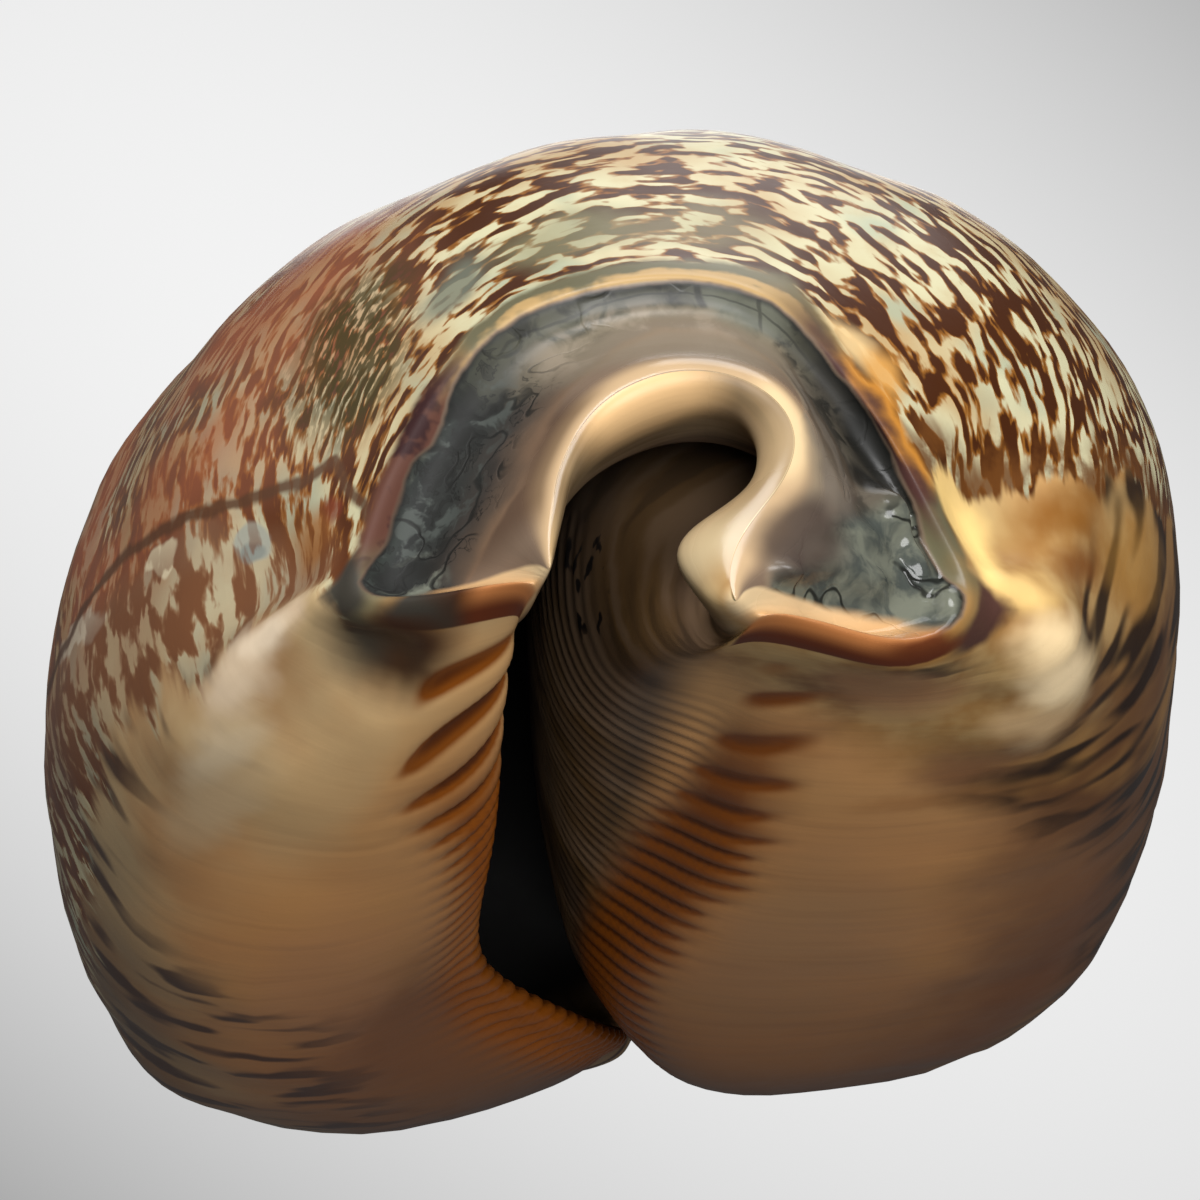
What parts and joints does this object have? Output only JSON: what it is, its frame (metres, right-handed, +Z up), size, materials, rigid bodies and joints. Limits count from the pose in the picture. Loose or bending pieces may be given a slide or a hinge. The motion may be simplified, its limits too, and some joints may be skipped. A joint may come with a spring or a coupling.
{
  "type": "cowrie shell",
  "caption": "Domed, glossy, egg-shaped sea-snail shell with a long toothed aperture along its base and a notched canal at each end.",
  "frame": {"origin": "under the middle of the shell, on the plane that its base rests on", "axes": "+Z up from the base to the domed back; +Y along the aperture from the front (anterior) canal to the back one; +X towards the columellar (inner lip) side"},
  "size_m": [0.0502, 0.0754, 0.0384],
  "materials": {
    "shell": null
  },
  "bodies": {
    "root": {"cowrie_shell": "shell"}
  },
  "joints": []
}
